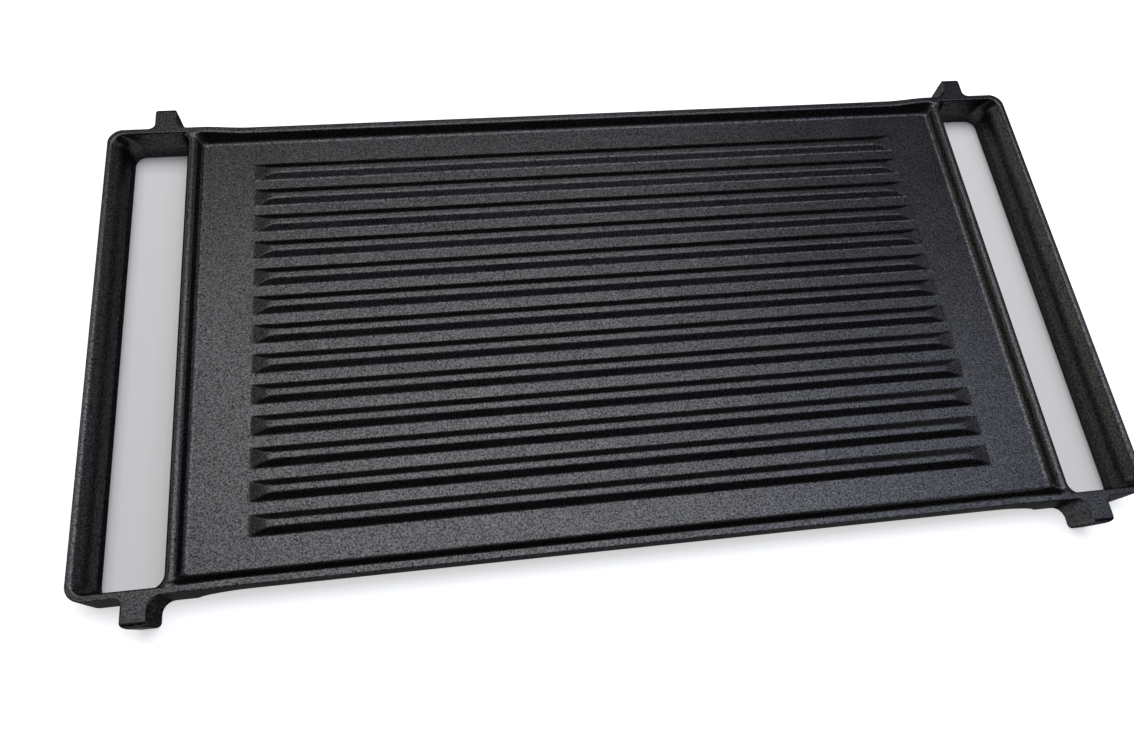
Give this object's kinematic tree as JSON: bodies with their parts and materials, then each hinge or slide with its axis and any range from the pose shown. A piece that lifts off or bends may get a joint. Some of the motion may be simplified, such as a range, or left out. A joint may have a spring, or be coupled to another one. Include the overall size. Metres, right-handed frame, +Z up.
{
  "type": "reversible griddle plate",
  "caption": "Long cast iron griddle plate with raised ribs inside a low rim, a slotted handle at each end and locating lugs on its sides.",
  "frame": {"origin": "centre of the resting face, midway between the handle bars and the side walls", "axes": "+X along the ribs towards the right handle, +Y towards the back rail, +Z up out of the ribbed cooking face"},
  "size_m": [0.52, 0.274, 0.0208],
  "materials": {
    "cast_iron": "sand-cast black iron with a satin seasoned surface"
  },
  "bodies": {
    "root": {"cooking_plate": "cast_iron", "sear_ribs": "cast_iron", "front_rail": "cast_iron", "back_rail": "cast_iron", "left_bead": "cast_iron", "right_bead": "cast_iron", "left_handle_bar": "cast_iron", "right_handle_bar": "cast_iron", "front_left_flank": "cast_iron", "front_right_flank": "cast_iron", "back_left_flank": "cast_iron", "back_right_flank": "cast_iron", "front_left_corner": "cast_iron", "front_right_corner": "cast_iron", "back_left_corner": "cast_iron", "back_right_corner": "cast_iron", "front_left_lug": "cast_iron", "front_right_lug": "cast_iron", "back_left_lug": "cast_iron", "back_right_lug": "cast_iron"}
  },
  "joints": []
}
